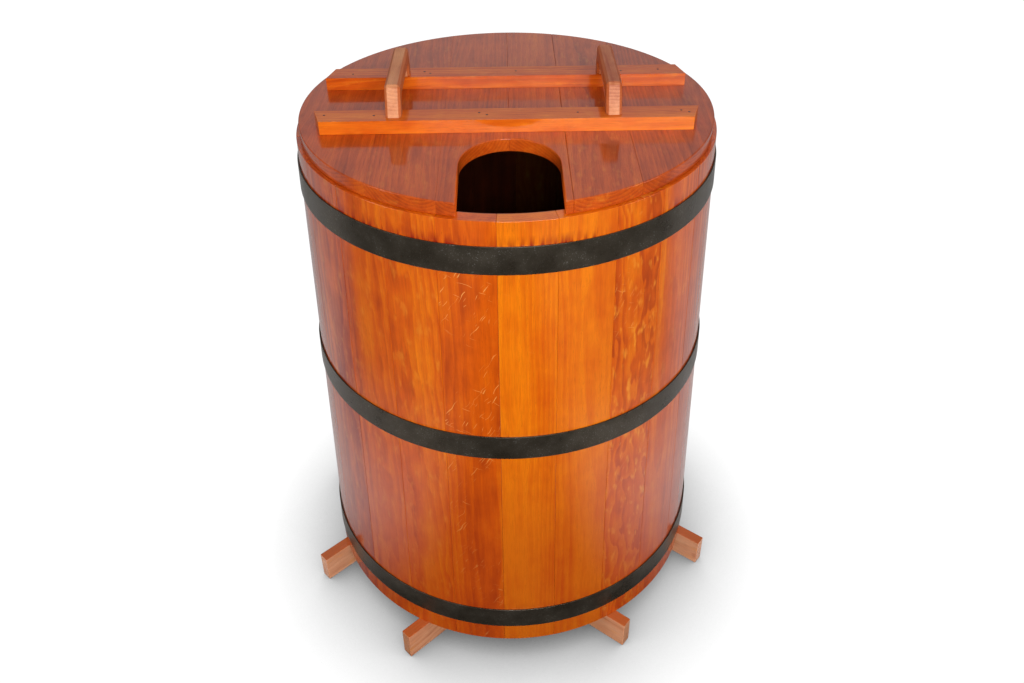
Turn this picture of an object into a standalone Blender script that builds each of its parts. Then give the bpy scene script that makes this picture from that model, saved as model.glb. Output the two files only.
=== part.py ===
"""Lidded stave barrel with a neck notch, on a lattice of four joists. Metres, +Z up.

The origin is on the ground under the barrel's axis. The front, where the lid's notch opens, is -Y.
"""

import math

import bmesh
import bpy
from mathutils import Matrix, Vector

# Fits
GAP = 0.0003  # left between pieces that touch
SLIP = 0.002  # left round a piece that lies loose in another

# Joists that carry the barrel, crossing in pairs
JOIST_HEIGHT = 0.070
JOIST_THICKNESS = 0.025
JOIST_OFFSET = 0.152  # from a pair's middle line to a joist's middle plane
JOIST_SHIFTS = {"left": -0.010, "right": 0.0}  # of a pair's middle line from the barrel's axis
JOIST_ANGLES = {"left": math.radians(-47.5), "right": math.radians(51.8)}  # from the front
JOIST_REACHES = {"left_1": 0.072, "left_2": 0.052, "right_1": 0.041, "right_2": 0.061}
JOIST_REAR_REACH = 0.062  # both reaches run out past the staves' feet

# Barrel wall: straight staves that lean in a little towards the rim
STAVE_LENGTH = 1.043
STAVE_THICKNESS = 0.027
RIM_RADIUS = 0.3970
BASE_RADIUS = 0.4280
STAVE_WIDTHS = (0.105, 0.097, 0.099, 0.099, 0.102, 0.099, 0.106, 0.110)  # in turn, as sawn
STAVE_ROUNDS = 3  # times that row of widths goes round; the staves are scaled to fill the circle
FIRST_SEAM = math.radians(-47.0)  # from the front to the first stave's edge
STAVE_STEPS = 5

# Floor, held in a groove near the foot of the staves
CHIME = 0.035  # from the staves' feet up to the floor
FLOOR_THICKNESS = 0.024
CROZE_DEPTH = 0.010
FLOOR_BOARDS = 5

# Steel hoops, each a strip whose end laps over its start
HOOP_WIDTH = 0.0527
HOOP_THICKNESS = 0.0025
HOOP_STEP = math.radians(5.0)
HOOP_LAP_STEPS = 2
HOOP_TOP_DROP = 0.0450  # from the rim down to the hoop's upper edge
HOOP_MIDDLE_DROP = 0.451
HOOP_BOTTOM_RISE = 0.0473  # from the staves' feet up to the hoop's lower edge
HOOP_LAPS = {"hoop_top": 172.0, "hoop_middle": 196.0, "hoop_bottom": 163.0}  # degrees from the front
RIVET_RADIUS = 0.003
RIVET_HEAD_RADIUS = 0.0065
RIVET_HEAD_HEIGHT = 0.0025
RIVETS_PER_LAP = 2

# Lid of boards that run front to back
LID_SETBACK = 0.0070  # from the staves' outer edge in to the lid's
LID_THICKNESS = 0.0256
LID_SEAMS = (-0.235, -0.115, 0.004, 0.104, 0.220)
NOTCH_CENTRE = 0.004
NOTCH_HALF_WIDTH = 0.087
NOTCH_ARCH = 0.098  # depth of the rounded end
NOTCH_BACK = -0.153  # where the rounded end is deepest
NOTCH_STEPS = 24

# Battens across the lid
BATTEN_WIDTH = 0.048
BATTEN_HEIGHT = 0.025
BATTEN_INSET = 0.0315  # from the lid's edge to the batten's ends
BATTEN_FRONTS = {"batten_front": -0.128, "batten_rear": 0.0725}

# Bridge handles that stand on the battens
HANDLE_CENTRE = -0.005
HANDLE_SPACING = 0.394
HANDLE_WIDTH = 0.028
HANDLE_HEIGHT = 0.054
HANDLE_SETBACK = 0.010  # from the battens' outer edges to the handle's ends
HANDLE_LEAN = 0.019  # how far the ends lean in over the height
HANDLE_FOOT = 0.036
HANDLE_RAIL = 0.029
HANDLE_ARCH_RADIUS = 0.014
HANDLE_ARCH_STEPS = 4
HANDLE_CHAMFER = 0.0045
SCREW_RADIUS = 0.0022
SCREW_HEAD_RADIUS = 0.0045
SCREW_HEAD_HEIGHT = 0.003
SCREW_BITE = 0.022  # how far a screw goes into the handle

# Seat inside, on two curved ledgers
SEAT_RISE = 0.400  # from the floor to the top of the seat
SEAT_THICKNESS = 0.025
SEAT_BOARD_WIDTH = 0.140
SEAT_BOARD_GAP = 0.006
SEAT_BOARDS = 2
SEAT_BACK = -0.050  # rear edge of the rear board
LEDGER_WIDTH = 0.030
LEDGER_HEIGHT = 0.040
LEDGER_ANGLES = (math.radians(24.0), math.radians(84.0))  # from the front, either side
LEDGER_STEPS = 12

DISC_STEPS = 120
FIXING_STEPS = 12  # sides of a rivet or a screw

# What follows from the sizes above
LID_RADIUS = RIM_RADIUS - LID_SETBACK
BARREL_Z = JOIST_HEIGHT + GAP
RIM_Z = BARREL_Z + STAVE_LENGTH
FLOOR_Z = BARREL_Z + CHIME
FLOOR_TOP_Z = FLOOR_Z + FLOOR_THICKNESS
SEAT_Z = FLOOR_TOP_Z + SEAT_RISE - SEAT_THICKNESS
LID_Z = RIM_Z + GAP
LID_TOP_Z = LID_Z + LID_THICKNESS
BATTEN_Z = LID_TOP_Z + GAP
BATTEN_TOP_Z = BATTEN_Z + BATTEN_HEIGHT
HANDLE_Z = BATTEN_TOP_Z + GAP
STAVE_COUNT = len(STAVE_WIDTHS) * STAVE_ROUNDS
ANGLE_PER_METRE = math.tau / (sum(STAVE_WIDTHS) * STAVE_ROUNDS)
WIDEST_STEP = ANGLE_PER_METRE * max(STAVE_WIDTHS) / STAVE_STEPS
HOOP_BOTTOMS = {
    "hoop_top": RIM_Z - HOOP_TOP_DROP - HOOP_WIDTH,
    "hoop_middle": RIM_Z - HOOP_MIDDLE_DROP - HOOP_WIDTH,
    "hoop_bottom": BARREL_Z + HOOP_BOTTOM_RISE,
}

OAK = (0.52, 0.14, 0.035, 1.0)
DARK_OAK = (0.42, 0.09, 0.025, 1.0)
BLACK_STEEL = (0.02, 0.02, 0.02, 1.0)
BRIGHT_STEEL = (0.45, 0.44, 0.42, 1.0)


def clear_scene():
    for obj in list(bpy.data.objects):
        bpy.data.objects.remove(obj)


def make_collection(name, hidden=False):
    collection = bpy.data.collections.new(name)
    bpy.context.scene.collection.children.link(collection)
    collection.hide_render = hidden
    return collection


def make_material(name, colour, roughness, metallic=0.0):
    material = bpy.data.materials.new(name)
    material.use_nodes = True
    shader = material.node_tree.nodes["Principled BSDF"]
    shader.inputs["Base Color"].default_value = colour
    shader.inputs["Roughness"].default_value = roughness
    shader.inputs["Metallic"].default_value = metallic
    return material


def add_part(name, mesh, colour, roughness=0.3, metallic=0.0, parent=None):
    obj = bpy.data.objects.new(name, mesh)
    mesh.name = name
    mesh.materials.clear()
    mesh.materials.append(make_material(name, colour, roughness, metallic))
    parts.objects.link(obj)
    obj.parent = parent
    return obj


def add_cutter(name, mesh):
    obj = bpy.data.objects.new(name, mesh)
    obj.hide_render = True
    obj.display_type = "WIRE"
    cutters.objects.link(obj)
    return obj


def boolean(obj, operation, cutter):
    modifier = obj.modifiers.new(operation.title() + " " + cutter.name, "BOOLEAN")
    modifier.operation = operation
    modifier.object = cutter
    modifier.solver = "EXACT"


def mesh_from(bm, name="shape"):
    bmesh.ops.recalc_face_normals(bm, faces=bm.faces)
    mesh = bpy.data.meshes.new(name)
    bm.to_mesh(mesh)
    bm.free()
    return mesh


def box_mesh(low, high):
    """A box between two corners."""
    low, high = Vector(low), Vector(high)
    bm = bmesh.new()
    bmesh.ops.create_cube(bm, size=1.0)
    bmesh.ops.scale(bm, vec=high - low, verts=bm.verts)
    bmesh.ops.translate(bm, vec=(low + high) / 2, verts=bm.verts)
    return mesh_from(bm)


def disc_mesh(radius, low, high):
    """An upright cylinder about the Z axis."""
    bm = bmesh.new()
    bmesh.ops.create_cone(
        bm, cap_ends=True, segments=DISC_STEPS, radius1=radius, radius2=radius, depth=high - low
    )
    bmesh.ops.translate(bm, vec=(0, 0, (low + high) / 2), verts=bm.verts)
    return mesh_from(bm)


def outline_mesh(points, depth):
    """A flat outline in XY, extruded to the given depth about Z = 0."""
    curve = bpy.data.curves.new("outline", "CURVE")
    curve.dimensions = "2D"
    curve.fill_mode = "BOTH"
    curve.extrude = depth / 2
    spline = curve.splines.new("POLY")
    spline.points.add(len(points) - 1)
    for point, (x, y) in zip(spline.points, points):
        point.co = (x, y, 0, 1)
    spline.use_cyclic_u = True
    obj = bpy.data.objects.new("outline", curve)
    bpy.context.scene.collection.objects.link(obj)
    bpy.context.view_layer.update()
    mesh = bpy.data.meshes.new_from_object(obj.evaluated_get(bpy.context.evaluated_depsgraph_get()))
    bpy.data.objects.remove(obj)
    bm = bmesh.new()
    bm.from_mesh(mesh)
    bpy.data.meshes.remove(mesh)
    bmesh.ops.remove_doubles(bm, verts=bm.verts, dist=0.00001)
    return mesh_from(bm)


def swept_mesh(profile, start, sweep, steps):
    """A closed profile of (radius, z) points swept about Z, from the start angle. The front is angle 0."""
    bm = bmesh.new()
    face = bm.faces.new([bm.verts.new((radius, 0, z)) for radius, z in profile])
    bmesh.ops.spin(
        bm, geom=[face, *face.edges, *face.verts], axis=(0, 0, 1), cent=(0, 0, 0), angle=sweep, steps=steps
    )
    bmesh.ops.rotate(bm, matrix=Matrix.Rotation(start - math.pi / 2, 3, "Z"), verts=bm.verts)
    return mesh_from(bm)


def turned_object(name, profile, steps, add, *args):
    """A profile of (radius, z) points from top to bottom, turned about the object's own Z axis."""
    bm = bmesh.new()
    verts = [bm.verts.new((radius, 0, z)) for radius, z in profile]
    for pair in zip(verts, verts[1:]):
        bm.edges.new(pair)
    mesh = bpy.data.meshes.new(name)
    bm.to_mesh(mesh)
    bm.free()
    obj = add(name, mesh, *args)
    screw = obj.modifiers.new("Turn", "SCREW")
    screw.steps = screw.render_steps = steps
    screw.use_merge_vertices = True
    screw.merge_threshold = 0.00001
    return obj


def wall_radius(z):
    """Outer radius of the barrel's wall at a height."""
    share = (z - BARREL_Z) / STAVE_LENGTH
    return BASE_RADIUS + (RIM_RADIUS - BASE_RADIUS) * share


def inside_radius(z, clearance):
    """Radius that stays clear of the wall's flat facets from within."""
    return (wall_radius(z) - STAVE_THICKNESS) * math.cos(WIDEST_STEP / 2) - clearance


def groove_radius():
    """Radius of the floor groove's bottom, taken at the narrow top of the groove."""
    return wall_radius(FLOOR_TOP_Z) - STAVE_THICKNESS + CROZE_DEPTH


def build_staves():
    bottom, top = BARREL_Z, RIM_Z
    low, high = FLOOR_Z - GAP, FLOOR_TOP_Z + GAP
    profile = [
        (wall_radius(bottom), bottom),
        (wall_radius(top), top),
        (wall_radius(top) - STAVE_THICKNESS, top),
        (wall_radius(high) - STAVE_THICKNESS, high),
        (groove_radius(), high),
        (groove_radius(), low),
        (wall_radius(low) - STAVE_THICKNESS, low),
        (wall_radius(bottom) - STAVE_THICKNESS, bottom),
    ]
    seam = GAP / (RIM_RADIUS - STAVE_THICKNESS)
    angle = FIRST_SEAM
    for index in range(STAVE_COUNT):
        width = STAVE_WIDTHS[index % len(STAVE_WIDTHS)] * ANGLE_PER_METRE
        mesh = swept_mesh(profile, angle + seam / 2, width - seam, STAVE_STEPS)
        add_part(f"stave_{index + 1:02d}", mesh, OAK if index % 2 else DARK_OAK)
        angle += width


def hoop_offset(step, steps_round):
    """How far the strip stands out from its ring: nothing, then one thickness where it laps."""
    return (HOOP_THICKNESS + GAP) * min(max(step - steps_round + 1, 0), 1)


def hoop_mesh(low):
    """The strip's inner face as an open sheet bent round the wall."""
    steps_round = round(math.tau / HOOP_STEP)
    bm = bmesh.new()
    rows = []
    for step in range(steps_round + HOOP_LAP_STEPS + 1):
        angle = step * HOOP_STEP
        row = []
        for z in (low, low + HOOP_WIDTH):
            radius = (wall_radius(z) + GAP) / math.cos(HOOP_STEP / 2) + hoop_offset(step, steps_round)
            row.append(bm.verts.new((radius * math.cos(angle), radius * math.sin(angle), z)))
        rows.append(row)
    for (a, b), (c, d) in zip(rows, rows[1:]):
        bm.faces.new((a, c, d, b))
    mesh = bpy.data.meshes.new("hoop")
    bm.to_mesh(mesh)
    bm.free()
    return mesh


def rivet_profile(clearance=0.0, overlong=0.0):
    """Domed head outside, shank through both layers of the lap; z runs outwards from the wall."""
    seat = 2 * HOOP_THICKNESS + 2 * GAP
    shank = RIVET_RADIUS + clearance
    if overlong:
        return [(0, seat + overlong), (shank, seat + overlong), (shank, -overlong), (0, -overlong)]
    return [
        (0, seat + RIVET_HEAD_HEIGHT),
        (RIVET_HEAD_RADIUS * 0.6, seat + RIVET_HEAD_HEIGHT * 0.85),
        (RIVET_HEAD_RADIUS, seat + RIVET_HEAD_HEIGHT * 0.25),
        (RIVET_HEAD_RADIUS, seat),
        (shank, seat),
        (shank, 0),
        (0, 0),
    ]


def rivet_matrix(z, angle):
    """Frame on the wall at a height and an angle from the front, its Z axis square to the wall."""
    slope = math.atan2(BASE_RADIUS - RIM_RADIUS, STAVE_LENGTH)
    turn = Matrix.Rotation(angle - math.pi / 2, 4, "Z")
    foot = Matrix.Translation((wall_radius(z) + GAP, 0, z))
    return turn @ foot @ Matrix.Rotation(math.pi / 2 - slope, 4, "Y")


def build_hoops():
    for name, low in HOOP_BOTTOMS.items():
        lap = math.radians(HOOP_LAPS[name])
        hoop = add_part(name, hoop_mesh(low), BLACK_STEEL, 0.45, 0.6)
        hoop.rotation_euler.z = lap - math.pi / 2
        wall = hoop.modifiers.new("Strip thickness", "SOLIDIFY")
        wall.thickness = HOOP_THICKNESS
        wall.offset = 1.0
        wall.use_even_offset = True
        for index in range(RIVETS_PER_LAP):
            angle = lap + HOOP_STEP * (index + 0.5) * HOOP_LAP_STEPS / RIVETS_PER_LAP
            place = rivet_matrix(low + HOOP_WIDTH / 2, angle)
            label = f"{name.replace('hoop', 'rivet')}_{index + 1}"
            hole = turned_object("hole_" + label, rivet_profile(GAP, SLIP), FIXING_STEPS, add_cutter)
            hole.matrix_world = place
            boolean(hoop, "DIFFERENCE", hole)
            rivet = turned_object(label, rivet_profile(), FIXING_STEPS, add_part, BLACK_STEEL, 0.4, 0.7)
            rivet.matrix_world = place


def build_floor():
    radius = groove_radius() * math.cos(WIDEST_STEP / 2) - GAP
    disc = add_cutter("floor_disc", disc_mesh(radius, FLOOR_Z, FLOOR_TOP_Z))
    width = 2 * radius / FLOOR_BOARDS
    for index in range(FLOOR_BOARDS):
        left = -radius + index * width + GAP / 2
        low = (left, -radius - SLIP, FLOOR_Z - SLIP)
        mesh = box_mesh(low, (left + width - GAP, radius + SLIP, FLOOR_TOP_Z + SLIP))
        board = add_part(f"floor_board_{index + 1}", mesh, DARK_OAK, 0.5)
        boolean(board, "INTERSECT", disc)


def joist_offset(way, side):
    """From the barrel's axis to a joist's middle plane, signed."""
    return JOIST_SHIFTS[way] + side * JOIST_OFFSET


def joist_box(way, side, ends, low, high, spare=0.0):
    """Box of one joist between two heights, with spare width for a cut; ends are its rear and front."""
    offset, half = joist_offset(way, side), JOIST_THICKNESS / 2 + spare
    mesh = box_mesh((-ends[0] - spare, offset - half, low), (ends[1] + spare, offset + half, high))
    mesh.transform(Matrix.Rotation(JOIST_ANGLES[way] - math.pi / 2, 4, "Z"))
    return mesh


def build_joists():
    """Two joists each way, halved into each other where they cross."""
    middle = JOIST_HEIGHT / 2
    cuts = {"left": (middle, JOIST_HEIGHT + SLIP), "right": (-SLIP, middle + GAP)}
    across = {"left": "right", "right": "left"}
    for way, (cut_low, cut_high) in cuts.items():
        halvings = [
            add_cutter(
                f"halving_{way}_{row}",
                joist_box(across[way], side, (BASE_RADIUS, BASE_RADIUS), cut_low, cut_high, GAP),
            )
            for row, side in ((1, -1), (2, 1))
        ]
        for row, side in ((1, -1), (2, 1)):
            feet = math.sqrt(BASE_RADIUS**2 - joist_offset(way, side) ** 2)
            ends = (feet + JOIST_REAR_REACH, feet + JOIST_REACHES[f"{way}_{row}"])
            mesh = joist_box(way, side, ends, 0.0, JOIST_HEIGHT)
            joist = add_part(f"joist_{way}_{row}", mesh, OAK)
            for halving in halvings:
                boolean(joist, "DIFFERENCE", halving)


def build_seat():
    low = SEAT_Z - GAP - LEDGER_HEIGHT
    high = SEAT_Z - GAP
    profile = [
        (inside_radius(low, GAP), low),
        (inside_radius(high, GAP), high),
        (inside_radius(high, GAP) - LEDGER_WIDTH, high),
        (inside_radius(high, GAP) - LEDGER_WIDTH, low),
    ]
    near, far = LEDGER_ANGLES
    for name, start in (("seat_ledger_right", near), ("seat_ledger_left", -far)):
        add_part(name, swept_mesh(profile, start, far - near, LEDGER_STEPS), OAK)
    top = SEAT_Z + SEAT_THICKNESS
    disc = add_cutter("seat_disc", disc_mesh(inside_radius(top, SLIP), SEAT_Z, top))
    reach = wall_radius(SEAT_Z)
    for index in range(SEAT_BOARDS):
        rear = SEAT_BACK - index * (SEAT_BOARD_WIDTH + SEAT_BOARD_GAP)
        mesh = box_mesh((-reach, rear - SEAT_BOARD_WIDTH, SEAT_Z - SLIP), (reach, rear, top + SLIP))
        board = add_part(f"seat_board_{index + 1}", mesh, DARK_OAK, 0.5)
        boolean(board, "INTERSECT", disc)


def notch_cutter():
    """A U that opens through the front of the lid, its round end half an ellipse."""
    straight = NOTCH_BACK - NOTCH_ARCH
    outside = -LID_RADIUS - SLIP
    points = [(NOTCH_CENTRE - NOTCH_HALF_WIDTH, outside), (NOTCH_CENTRE + NOTCH_HALF_WIDTH, outside)]
    for step in range(NOTCH_STEPS + 1):
        turn = math.pi * step / NOTCH_STEPS
        points.append(
            (NOTCH_CENTRE + NOTCH_HALF_WIDTH * math.cos(turn), straight + NOTCH_ARCH * math.sin(turn))
        )
    cutter = add_cutter("notch", outline_mesh(points, LID_THICKNESS + 2 * SLIP))
    cutter.location.z = LID_THICKNESS / 2 + LID_Z
    return cutter


def batten_span(name):
    """Front and rear faces of a batten."""
    front = BATTEN_FRONTS[name]
    return front, front + BATTEN_WIDTH


def handle_span():
    """Front and rear ends of a handle's feet."""
    return batten_span("batten_front")[0] + HANDLE_SETBACK, batten_span("batten_rear")[1] - HANDLE_SETBACK


def screw_profile(clearance=0.0):
    """Countersunk screw with its head at z = 0, pointing up; listed from its tip down."""
    length = HANDLE_Z - LID_Z + SCREW_BITE
    radius, head = SCREW_RADIUS + clearance, SCREW_HEAD_RADIUS + clearance
    bottom = -SLIP if clearance else 0
    return [
        (0, length + clearance),
        (radius, length - SCREW_RADIUS * 2),
        (radius, SCREW_HEAD_HEIGHT + clearance),
        (head, clearance),
        (head, bottom),
        (0, bottom),
    ]


def screw_places():
    """(name, x, y) of the screw under each foot of each handle."""
    front, rear = handle_span()
    for side, sign in (("left", -1), ("right", 1)):
        x = HANDLE_CENTRE + sign * HANDLE_SPACING / 2
        yield f"handle_screw_{side}_front", x, front + HANDLE_FOOT / 2
        yield f"handle_screw_{side}_rear", x, rear - HANDLE_FOOT / 2


def reaches(left, right, centre, half_width):
    """Whether a cut about a centre line reaches a board's width."""
    return left < centre + half_width and right > centre - half_width


def build_lid(lift):
    """Everything that comes off with the lid, parented to an empty on its lifting axis."""
    disc = add_cutter("lid_disc", disc_mesh(LID_RADIUS, LID_Z, LID_TOP_Z))
    notch = notch_cutter()
    holes = {}
    for name, x, y in screw_places():
        hole = turned_object("hole_" + name, screw_profile(GAP), FIXING_STEPS, add_cutter)
        hole.location = (x, y, LID_Z)
        holes[name] = hole
        screw = turned_object(name, screw_profile(), FIXING_STEPS, add_part, BRIGHT_STEEL, 0.35, 1.0)
        screw.location = (x, y, LID_Z)
        hang(screw, lift)

    edges = [-LID_RADIUS, *LID_SEAMS, LID_RADIUS]
    for index, (left, right) in enumerate(zip(edges, edges[1:])):
        low = (left + GAP / 2, -LID_RADIUS - SLIP, LID_Z - SLIP)
        mesh = box_mesh(low, (right - GAP / 2, LID_RADIUS + SLIP, LID_TOP_Z + SLIP))
        board = add_part(f"lid_board_{index + 1}", mesh, OAK if index % 2 else DARK_OAK)
        boolean(board, "INTERSECT", disc)
        if reaches(left, right, NOTCH_CENTRE, NOTCH_HALF_WIDTH):
            boolean(board, "DIFFERENCE", notch)
        for hole in holes.values():
            if reaches(left, right, hole.location.x, SCREW_HEAD_RADIUS + SLIP):
                boolean(board, "DIFFERENCE", hole)
        hang(board, lift)

    for name in BATTEN_FRONTS:
        batten = build_batten(name)
        for label, hole in holes.items():
            if label.endswith(name.split("_")[1]):
                boolean(batten, "DIFFERENCE", hole)
        hang(batten, lift)

    for side, sign in (("left", -1), ("right", 1)):
        handle = build_handle(f"handle_{side}", HANDLE_CENTRE + sign * HANDLE_SPACING / 2)
        for label, hole in holes.items():
            if side in label:
                boolean(handle, "DIFFERENCE", hole)
        hang(handle, lift)


def hang(obj, parent):
    """Parents an object without moving it."""
    bpy.context.view_layer.update()
    world = obj.matrix_world.copy()
    obj.parent = parent
    obj.matrix_parent_inverse = parent.matrix_world.inverted()
    obj.matrix_world = world


def build_batten(name):
    """A batten whose ends are cut at a slant, to follow the lid's edge."""
    radius = LID_RADIUS - BATTEN_INSET
    front, rear = batten_span(name)
    ends = [math.sqrt(radius**2 - y**2) for y in (front, rear)]
    points = [(-ends[0], front), (ends[0], front), (ends[1], rear), (-ends[1], rear)]
    batten = add_part(name, outline_mesh(points, BATTEN_HEIGHT), OAK)
    batten.location.z = BATTEN_Z + BATTEN_HEIGHT / 2
    return batten


def build_handle(name, x):
    """A bridge: two feet under a rail, its outline drawn in (y, z) and given its width along X."""
    front, rear = handle_span()
    lean, arch = HANDLE_LEAN, HANDLE_HEIGHT - HANDLE_RAIL
    points = [(front, 0), (front + HANDLE_FOOT, 0)]
    radius = HANDLE_ARCH_RADIUS
    near, far = front + HANDLE_FOOT + radius, rear - HANDLE_FOOT - radius
    for centre, start in ((near, math.pi), (far, math.pi / 2)):
        for step in range(HANDLE_ARCH_STEPS + 1):
            turn = start - step * math.pi / 2 / HANDLE_ARCH_STEPS
            points.append((centre + radius * math.cos(turn), arch - radius + radius * math.sin(turn)))
    points += [(rear - HANDLE_FOOT, 0), (rear, 0)]
    points += [(rear - lean, HANDLE_HEIGHT), (front + lean, HANDLE_HEIGHT)]
    mesh = outline_mesh(points, HANDLE_WIDTH)
    upright = Matrix.Rotation(math.pi / 2, 4, "Z") @ Matrix.Rotation(math.pi / 2, 4, "X")
    mesh.transform(upright)
    chamfer_edges(mesh, HANDLE_CHAMFER)
    handle = add_part(name, mesh, OAK)
    handle.location = (x, 0, HANDLE_Z)
    return handle


def chamfer_edges(mesh, width):
    """Cuts back the handle's outer edges, apart from those of its soles."""
    bm = bmesh.new()
    bm.from_mesh(mesh)
    bmesh.ops.dissolve_limit(bm, angle_limit=math.radians(1.0), verts=bm.verts, edges=bm.edges)
    edges = [
        edge
        for edge in bm.edges
        if max(vert.co.z for vert in edge.verts) > GAP and edge.calc_face_angle(0) > math.radians(35.0)
    ]
    bmesh.ops.bevel(bm, geom=edges, offset=width, segments=1, affect="EDGES", clamp_overlap=True)
    bmesh.ops.recalc_face_normals(bm, faces=bm.faces)
    bm.to_mesh(mesh)
    bm.free()


clear_scene()
parts = make_collection("lidded_stave_barrel")
cutters = make_collection("cutters", hidden=True)
lift_axis = bpy.data.objects.new("lid_lift_axis", None)
lift_axis.location = (0, 0, LID_Z)
parts.objects.link(lift_axis)

build_joists()
build_staves()
build_floor()
build_seat()
build_hoops()
build_lid(lift_axis)
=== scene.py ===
import math
import random

import bmesh
import bpy
from mathutils import Matrix, Vector


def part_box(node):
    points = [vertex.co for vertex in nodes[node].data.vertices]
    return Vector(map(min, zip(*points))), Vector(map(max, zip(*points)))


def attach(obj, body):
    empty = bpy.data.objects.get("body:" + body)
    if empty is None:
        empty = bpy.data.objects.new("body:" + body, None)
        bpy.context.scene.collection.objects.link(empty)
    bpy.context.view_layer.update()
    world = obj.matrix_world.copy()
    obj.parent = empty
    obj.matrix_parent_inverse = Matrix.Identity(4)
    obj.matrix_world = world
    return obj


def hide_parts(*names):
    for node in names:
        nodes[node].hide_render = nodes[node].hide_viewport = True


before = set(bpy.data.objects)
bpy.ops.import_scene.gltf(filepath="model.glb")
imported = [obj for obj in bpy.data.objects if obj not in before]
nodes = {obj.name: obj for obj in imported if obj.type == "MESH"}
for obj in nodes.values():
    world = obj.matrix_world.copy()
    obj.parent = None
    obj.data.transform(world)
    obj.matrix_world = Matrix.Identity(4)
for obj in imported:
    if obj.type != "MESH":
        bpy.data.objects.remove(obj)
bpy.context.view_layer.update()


# node wiring

def addNode(tree, kind, inputs=None, **settings):
    made = tree.nodes.new(kind)
    for name, value in settings.items():
        setattr(made, name, value)
    for name, value in (inputs or {}).items():
        socket = made.inputs[name]
        if isinstance(value, bpy.types.NodeSocket):
            tree.links.new(value, socket)
        else:
            socket.default_value = value
    return made


def maths(tree, operation, *values, clamp=False):
    made = addNode(tree, "ShaderNodeMath", dict(enumerate(values)), operation=operation, use_clamp=clamp)
    return made.outputs[0]


def vectorMaths(tree, operation, *values):
    made = addNode(tree, "ShaderNodeVectorMath", dict(enumerate(values)), operation=operation)
    return made.outputs["Value" if operation in ("DOT_PRODUCT", "LENGTH", "DISTANCE") else "Vector"]


def stretch(tree, vector, x, y, z):
    return vectorMaths(tree, "MULTIPLY", vector, (x, y, z))


def mixColour(tree, factor, a, b, blend="MIX"):
    made = addNode(tree, "ShaderNodeMix", data_type="RGBA", blend_type=blend)
    for socket, value in ((made.inputs[0], factor), (made.inputs[6], a), (made.inputs[7], b)):
        if isinstance(value, bpy.types.NodeSocket):
            tree.links.new(value, socket)
        else:
            socket.default_value = value
    return made.outputs[2]


def between(tree, value, low, high, toLow=0.0, toHigh=1.0, smooth=False):
    made = addNode(
        tree,
        "ShaderNodeMapRange",
        {"Value": value, "From Min": low, "From Max": high, "To Min": toLow, "To Max": toHigh},
        interpolation_type="SMOOTHSTEP" if smooth else "LINEAR",
        clamp=True,
    )
    return made.outputs["Result"]


def noiseAt(tree, vector, scale, detail=2.0, roughness=0.5):
    settings = {"Vector": vector, "Scale": scale, "Detail": detail, "Roughness": roughness}
    return addNode(tree, "ShaderNodeTexNoise", settings).outputs[0]


def separate(tree, vector):
    return addNode(tree, "ShaderNodeSeparateXYZ", {0: vector}).outputs


def objectPlace(tree):
    return addNode(tree, "ShaderNodeTexCoord").outputs["Object"]


def facing(tree, axis):
    return separate(tree, addNode(tree, "ShaderNodeNewGeometry").outputs["Normal"])[axis]


def readAttribute(tree, name, output="Fac"):
    return addNode(tree, "ShaderNodeAttribute", attribute_name=name).outputs[output]


def newMaterial(name):
    material = bpy.data.materials.new(name)
    material.use_nodes = True
    tree = material.node_tree
    return material, tree, tree.nodes["Principled BSDF"]


# camera

cameraSizes = {
    "place": (-0.0024, -1.6535, 1.8600),
    "down": 0.6203,
    "turn": 0.0053,
    "roll": -0.0123,
    "lens": 32.606,
    "shift": -0.0405,
}


def aimCamera(sizes):
    down, turn, roll = sizes["down"], sizes["turn"], sizes["roll"]
    ahead = Vector((math.sin(turn) * math.cos(down), math.cos(turn) * math.cos(down), -math.sin(down)))
    right = Vector((math.cos(turn), -math.sin(turn), 0))
    up = right.cross(ahead)
    across = right * math.cos(roll) + up * math.sin(roll)
    upright = up * math.cos(roll) - right * math.sin(roll)
    data = bpy.data.cameras.new("camera")
    data.lens = sizes["lens"]
    data.shift_y = sizes["shift"]
    camera = bpy.data.objects.new("camera", data)
    turned = Matrix((across, upright, -ahead)).transposed().to_4x4()
    camera.matrix_world = Matrix.Translation(sizes["place"]) @ turned
    bpy.context.scene.collection.objects.link(camera)
    bpy.context.scene.camera = camera


aimCamera(cameraSizes)
print("camera")


# studio

studio = {
    "floor": 60.0,
    "floorShade": 1.06,
    "shadowReach": 0.24,
    "shadowDepth": 1.25,
    "nearSpan": (0.65, 1.45),
    "nearBounce": 1.10,
    "farBounce": 0.12,
    "middleSpan": (0.30, 0.75),
    "middleBounce": 0.04,
    "backSpan": (-0.30, 0.30),
    "sideBounce": 0.85,
    "sky": 0.26,
    "lights": (
        ("keyLight", (0.4, -3.1, 2.1), (0, 0, 0.6), 1.8, 88),
        ("topLight", (0.4, 0.4, 4.6), (0, 0, 0.3), 1.4, 8),
        ("backLight", (0.0, 4.0, 3.0), (0, 0, 1.0), 3.8, 11),
        ("leftLight", (-3.2, -1.6, 1.7), (0, 0, 0.6), 1.4, 20),
        ("rightLight", (3.2, -1.2, 1.7), (0, 0, 0.6), 1.4, 14),
    ),
}


def addAreaLight(name, place, target, size, power):
    data = bpy.data.lights.new(name, "AREA")
    data.shape = "DISK"
    data.size = size
    data.energy = power
    light = bpy.data.objects.new(name, data)
    light.location = place
    light.rotation_euler = (Vector(target) - Vector(place)).to_track_quat("-Z", "Y").to_euler()
    bpy.context.scene.collection.objects.link(light)


def mixShader(tree, share, first, second):
    return addNode(tree, "ShaderNodeMixShader", {0: share, 1: first, 2: second}).outputs[0]


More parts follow.
